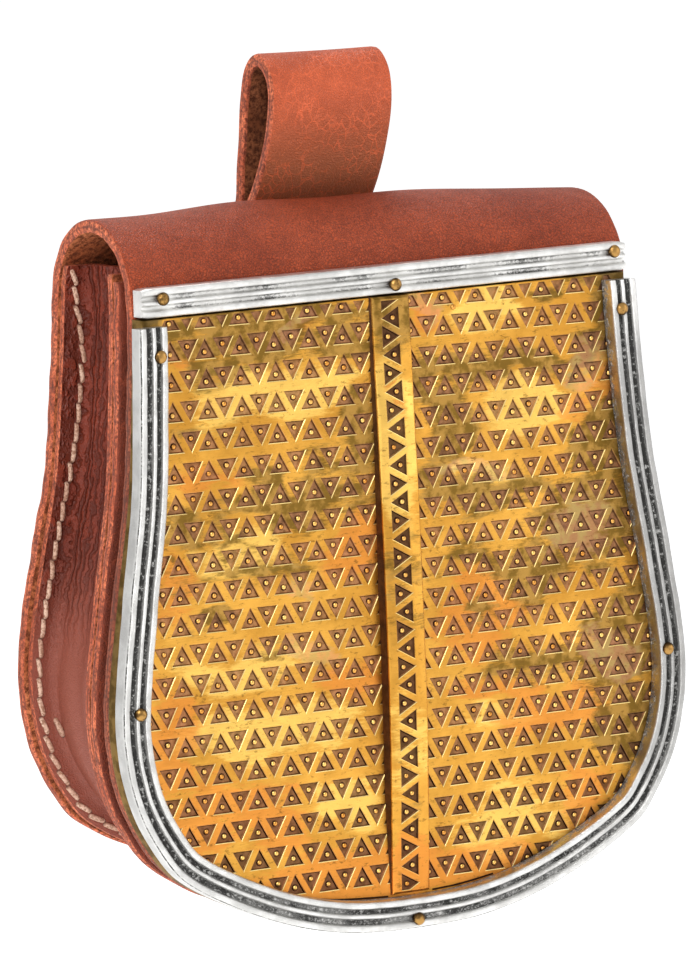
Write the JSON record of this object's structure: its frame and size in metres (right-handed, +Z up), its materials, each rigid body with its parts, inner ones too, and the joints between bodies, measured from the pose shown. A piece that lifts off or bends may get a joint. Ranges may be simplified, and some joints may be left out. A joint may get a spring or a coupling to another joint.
{
  "type": "belt pouch",
  "caption": "Leather belt pouch with a belt loop, open-ended arched top, gusseted pocket and a flap clad in stamped brass sheet inside a ridged silver-coloured moulding.",
  "frame": {"origin": "under the top of the belt loop, in the middle of its width, where the belt carries the pouch", "axes": "+X along the belt to the right as seen from the front, +Y from the flap to the wearer, +Z up"},
  "size_m": [0.1424, 0.0575, 0.1885],
  "materials": {
    "thick_leather": "smooth cognac-brown grain side, raw light edges, suede flesh side",
    "soft_leather": "smooth dark red-brown, creased lengthwise",
    "brass": "stamped sheet, golden with olive tarnish",
    "silver_metal": "polished cast white metal with darkened grooves",
    "rivet_brass": "domed heads, dulled"
  },
  "bodies": {
    "root": {"back_and_flap": "thick_leather", "front_panel": "thick_leather", "gusset": "soft_leather", "belt_loop": "thick_leather", "brass_sheet": "brass", "centre_strip": "brass", "edge_moulding": "silver_metal", "top_bar": "silver_metal", "rivet_bar_left": "rivet_brass", "rivet_bar_middle": "rivet_brass", "rivet_bar_right": "rivet_brass", "rivet_upper_left": "rivet_brass", "rivet_upper_right": "rivet_brass", "rivet_side_left": "rivet_brass", "rivet_side_right": "rivet_brass", "rivet_bottom": "rivet_brass"}
  },
  "joints": []
}
